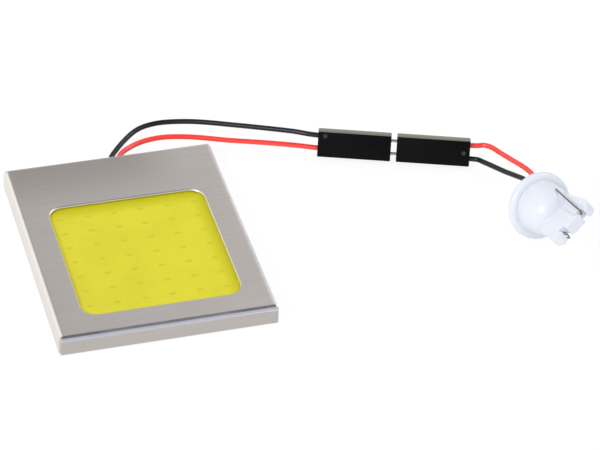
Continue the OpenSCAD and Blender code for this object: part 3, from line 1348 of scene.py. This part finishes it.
@dataclass
class Studio:
    """Camera, lamps, floor and surroundings."""

    eye: Point = (-0.101533, -0.414185, 0.348481)
    right: Point = (0.961315, -0.272241, 0.041940)
    up: Point = (0.138738, 0.610076, 0.780102)
    lens: float = 179.888
    sensor: float = 36.0
    clip: Pair = (0.01, 20.0)
    room: float = 0.78
    horizon: Ramp = ((0.05, 0.32), (1.0, 0.0))
    rising: Ramp = ((0.42, 0.68), (0.33, 0.57))
    overhead: Ramp = ((0.66, 0.92), (0.57, 0.10))
    across: Ramp = ((0.05, 0.35), (0.80, 1.30))
    left: Ramp = ((-0.35, -0.05), (1.05, 0.0))
    near: Ramp = ((-0.95, -0.25), (0.62, 0.05))
    right_side: Ramp = ((0.40, 0.65), (0.0, 0.9))
    floor_size: float = 4.0
    floor_white: float = 0.92
    floor_rough: float = 0.9
    floor_shadow: float = 0.15
    floor_glow: float = 1.03
    cold: Ramp = ((0.7, 0.95), (0.0, 1.0))
    cold_near: Ramp = ((-0.6, -0.2), (1.0, 0.0))
    cold_color: Color = (0.86, 0.94, 1.20)
    # painted light and shade on the floor as mirrors see it: brighter beside the case's left and right
    # sides, dimmer between them
    lit_side: Ramp = ((-20.5, -19.5), (0.94, 0.56))
    lit_far_side: Ramp = ((21.0, 24.0), (0.0, 0.4))
    lamps: tuple[Lamp, ...] = (
        Lamp("front_left_lamp", (-0.5, -0.35, 0.45), 2.3, 0.18),
        Lamp("rear_right_lamp", (0.47, 0.2, 0.5), 0.7, 0.10),
    )

    def camera(self) -> None:
        """Adds the camera."""
        data = bpy.data.cameras.new("camera")
        data.lens, data.sensor_width = self.lens, self.sensor
        data.clip_start, data.clip_end = self.clip
        camera = linked("camera", data)
        right, up = Vector(self.right), Vector(self.up)
        axes = Matrix((right, up, right.cross(up))).transposed().to_4x4()
        camera.matrix_world = Matrix.Translation(self.eye) @ axes
        bpy.context.scene.camera = camera

    def surroundings(self) -> None:
        """Makes the world: plain light for the object, white for what looks at it.

        A mirroring surface sees white low down and a dark ceiling, cold in parts.
        """
        world = bpy.data.worlds.new("studio")
        world.use_nodes = True
        nodes = NodeBoard(world.node_tree)
        way = nodes.split(nodes.add("ShaderNodeTexCoord").outputs["Generated"])
        heights = [nodes.spread(way["Z"], *ramp) for ramp in (self.rising, self.overhead)]
        ceiling = nodes.math(
            "MULTIPLY", nodes.math("MINIMUM", *heights), nodes.spread(way["X"], *self.across)
        )
        right = nodes.spread(way["X"], *self.right_side)
        walls = (("Z", self.horizon), ("Y", self.near), ("X", self.left))
        lit = [nodes.spread(way[axis], *ramp) for axis, ramp in walls]
        mirrored = nodes.chain("MAXIMUM", ceiling, *lit, right)
        direct, glossy = nodes.rays()
        level = nodes.mix(glossy, self.room, mirrored)
        background = world.node_tree.nodes["Background"]
        nodes.feed(background.inputs["Strength"], nodes.mix(direct, level, 1.0))
        facing = [nodes.spread(way["Y"], *self.cold_near), nodes.spread(way["Z"], *self.cold)]
        cold = nodes.math("MULTIPLY", nodes.chain("MAXIMUM", *facing, right), glossy)
        nodes.feed(background.inputs["Color"], nodes.tint(cold, (1, 1, 1), self.cold_color))
        bpy.context.scene.world = world

    def floor(self) -> None:
        """Adds the pale floor, which shows white with a faint shadow. In mirroring surfaces it is a
        glow with painted light beside the case's left and right sides and painted shade between them.
        """
        bm = bmesh.new()
        bmesh.ops.create_grid(bm, x_segments=1, y_segments=1, size=self.floor_size / 2)
        floor = linked("floor", as_data(bm, "floor"))
        bench = Bench("floor_white")
        white = (*[self.floor_white] * 3, 1)
        bench.fix(Base_Color=white, Roughness=self.floor_rough, Specular_IOR_Level=0.0)
        direct, glossy = bench.rays()
        across = bench.split(bench.place())["X"]
        # painted light beside the case's sides, for mirroring rays only
        sides = [bench.spread(across, *ramp) for ramp in (self.lit_side, self.lit_far_side)]
        glow = bench.add("ShaderNodeEmission")
        strength = bench.mix(direct, bench.math("ADD", *sides), self.floor_glow)
        bench.feed(glow.inputs["Strength"], strength)
        share = bench.mix(direct, glossy, 1 - self.floor_shadow)
        blend = bench.add("ShaderNodeMixShader")
        for socket, source in zip(blend.inputs, (share, bench.shader.outputs[0], glow.outputs[0])):
            bench.feed(socket, source)
        bench.feed(bench.tree.nodes["Material Output"].inputs["Surface"], blend.outputs[0])
        floor.data.materials.append(bench.material)

    def build(self) -> None:
        """Adds everything around the object."""
        bpy.context.scene.view_settings.view_transform = "Standard"
        self.camera()
        self.surroundings()
        self.floor()
        for lamp in self.lamps:
            lamp.hang()
        log.info("studio with %d lamps", len(self.lamps))


# ---------------------------------------------------------------- assembly


BLACK_RUN = [
    (-1.6, 19.4, 2.7), (-0.2, 21, 2.7), (0.5, 23.4, 2.7), (0.9, 25.6, 2.6), (2.5, 28.2, 2.3),
    (5.2, 31.5, 2.1), (8.4, 34, 2.2), (12.9, 34.8, 2.3), (19, 33.2, 2.7),
    (25, 30.4, 3.1), (31, 27.4, 3.5), (36.4, 24.5, 3.9), (39.2, 22.8, 4),
]
RED_RUN = [
    (3.6, 19.4, 2.7), (2.3, 21, 2.7), (1.9, 23.2, 2.7), (2.2, 25, 2.6), (3.1, 26.6, 2.5),
    (4.8, 28.2, 2.3), (8, 29.8, 2.2), (12.4, 30.4, 2.1), (18, 29.3, 2), (24, 27.1, 1.9),
    (30, 25.2, 1.8), (36, 23.1, 1.7), (39, 21.8, 1.7),
]
RED_TAIL = [
    (69.4, 12.3, 4), (70.7, 12, 4.1), (71.8, 10.9, 4.3), (72.6, 9, 4.5), (74, 5.6, 4.9),
    (75.2, 2, 5.6), (75.8, -1.6, 6.1), (75.1, -6.4, 6.2),
]
BLACK_TAIL = [
    (68.9, 11.1, 1.7), (69.9, 9.7, 2), (71.2, 7.2, 2.5), (72.6, 4.2, 3.2), (73.9, 1.1, 4.2),
    (74.4, -1.7, 5.1), (73.3, -5, 4.6), (71.7, -8.2, 3.8),
]


@dataclass
class Wiring:
    """The four leads, from the board to the connector and on to the adapter."""

    connector: Connector
    adapter: WedgeAdapter
    solder_y: float = 19.0
    solder_z: float = 2.7
    black_solder_x: float = -3.0
    red_solder_x: float = 5.0
    entry: float = 3.0
    joint_z: float = 1.5
    exits: Pair = (0.8, 2.2)
    exit_y: float = 25.0
    exit_z: float = 2.6

    def socket(self, along: float, row: int) -> Vector:
        """Returns a point on one contact's axis.

        Args:
            along: distance from the lead end of the first housing.
            row: 1 for the upper contact and -1 for the lower one.

        Returns:
            The point, in millimetres.
        """
        c = self.connector
        return c.placing @ Vector((along, c.thick / 2, c.width / 2 + row * c.pitch / 2))

    def joint(self, side: int) -> Vector:
        """Returns the solder point in the adapter's cup on one side."""
        return self.adapter.placing @ Vector((side * self.adapter.wire_x, 0, self.joint_z))

    def build(self) -> list[Lead]:
        """Builds the leads.

        Returns:
            The two long leads, then the two short ones.
        """
        solder = {1: self.black_solder_x, -1: self.red_solder_x}
        starts = {row: (x, self.solder_y, self.solder_z) for row, x in solder.items()}
        near = {row: self.socket(self.entry, row) for row in (1, -1)}
        far_in = self.connector.span - self.entry
        far = {row: self.socket(far_in, row) for row in (1, -1)}
        leads = [
            Lead("black_lead_run", "black_lead", Skin.BLACK, [starts[1], *BLACK_RUN, near[1]]),
            Lead("red_lead_run", "red_lead", Skin.RED, [starts[-1], *RED_RUN, near[-1]]),
            Lead("red_tail_run", "red_tail_lead", Skin.RED, [far[1], *RED_TAIL, self.joint(1)]),
            Lead(
                "black_tail_run", "black_tail_lead", Skin.BLACK, [far[-1], *BLACK_TAIL, self.joint(-1)]
            ),
        ]
        for lead in leads:
            lead.build()
        return leads

    def declare(self, leads: Sequence[Lead]) -> None:
        """Logs the length of each of the two long leads.

        Args:
            leads: the four leads.
        """
        for lead, exit_x in zip(leads, self.exits):
            lead.length()
            log.info("%s is %.1f mm long", lead.name, lead.length() / MM)


def main() -> None:
    """Builds the scene, piece by piece."""
    logging.basicConfig(level=logging.INFO, format="%(name)s: %(message)s")
    studio, connector, adapter = Studio(), Connector(), WedgeAdapter()
    studio.build()
    wiring = Wiring(connector, adapter)
    leads = wiring.build()
    ends = connector.build() + adapter.build()
    wiring.declare(leads)
    FoldedCase().build()
    LightEngine().build()


if __name__ == "__main__":
    main()
